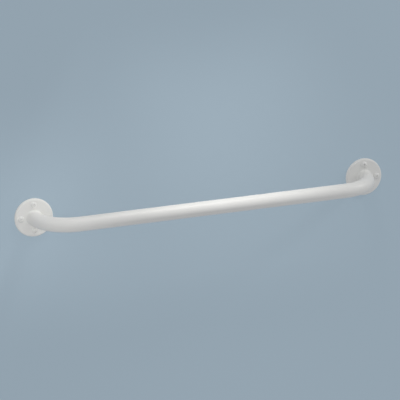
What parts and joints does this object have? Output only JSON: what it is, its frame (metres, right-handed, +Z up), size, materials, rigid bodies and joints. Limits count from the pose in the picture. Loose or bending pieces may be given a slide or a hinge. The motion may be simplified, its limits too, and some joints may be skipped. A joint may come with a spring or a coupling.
{
  "type": "grab bar",
  "caption": "Wall-mounted grab bar: one round white tube with a bend at each end, welded into round flanges that are screwed to the wall.",
  "frame": {"origin": "on the wall, midway between the centres of the two flanges", "axes": "+X along the bar, +Z up the wall, +Y into the wall, so the bar stands out towards -Y"},
  "size_m": [0.678, 0.1167, 0.068],
  "materials": {
    "white_powder_coat": "satin white powder coat on steel",
    "screw_steel": "steel screw with a white enamelled head and a zinc-plated thread"
  },
  "bodies": {
    "root": {"bar_tube": "white_powder_coat", "left_flange": "white_powder_coat", "right_flange": "white_powder_coat", "left_weld": "white_powder_coat", "right_weld": "white_powder_coat", "fixing_screws": "screw_steel"}
  },
  "joints": []
}
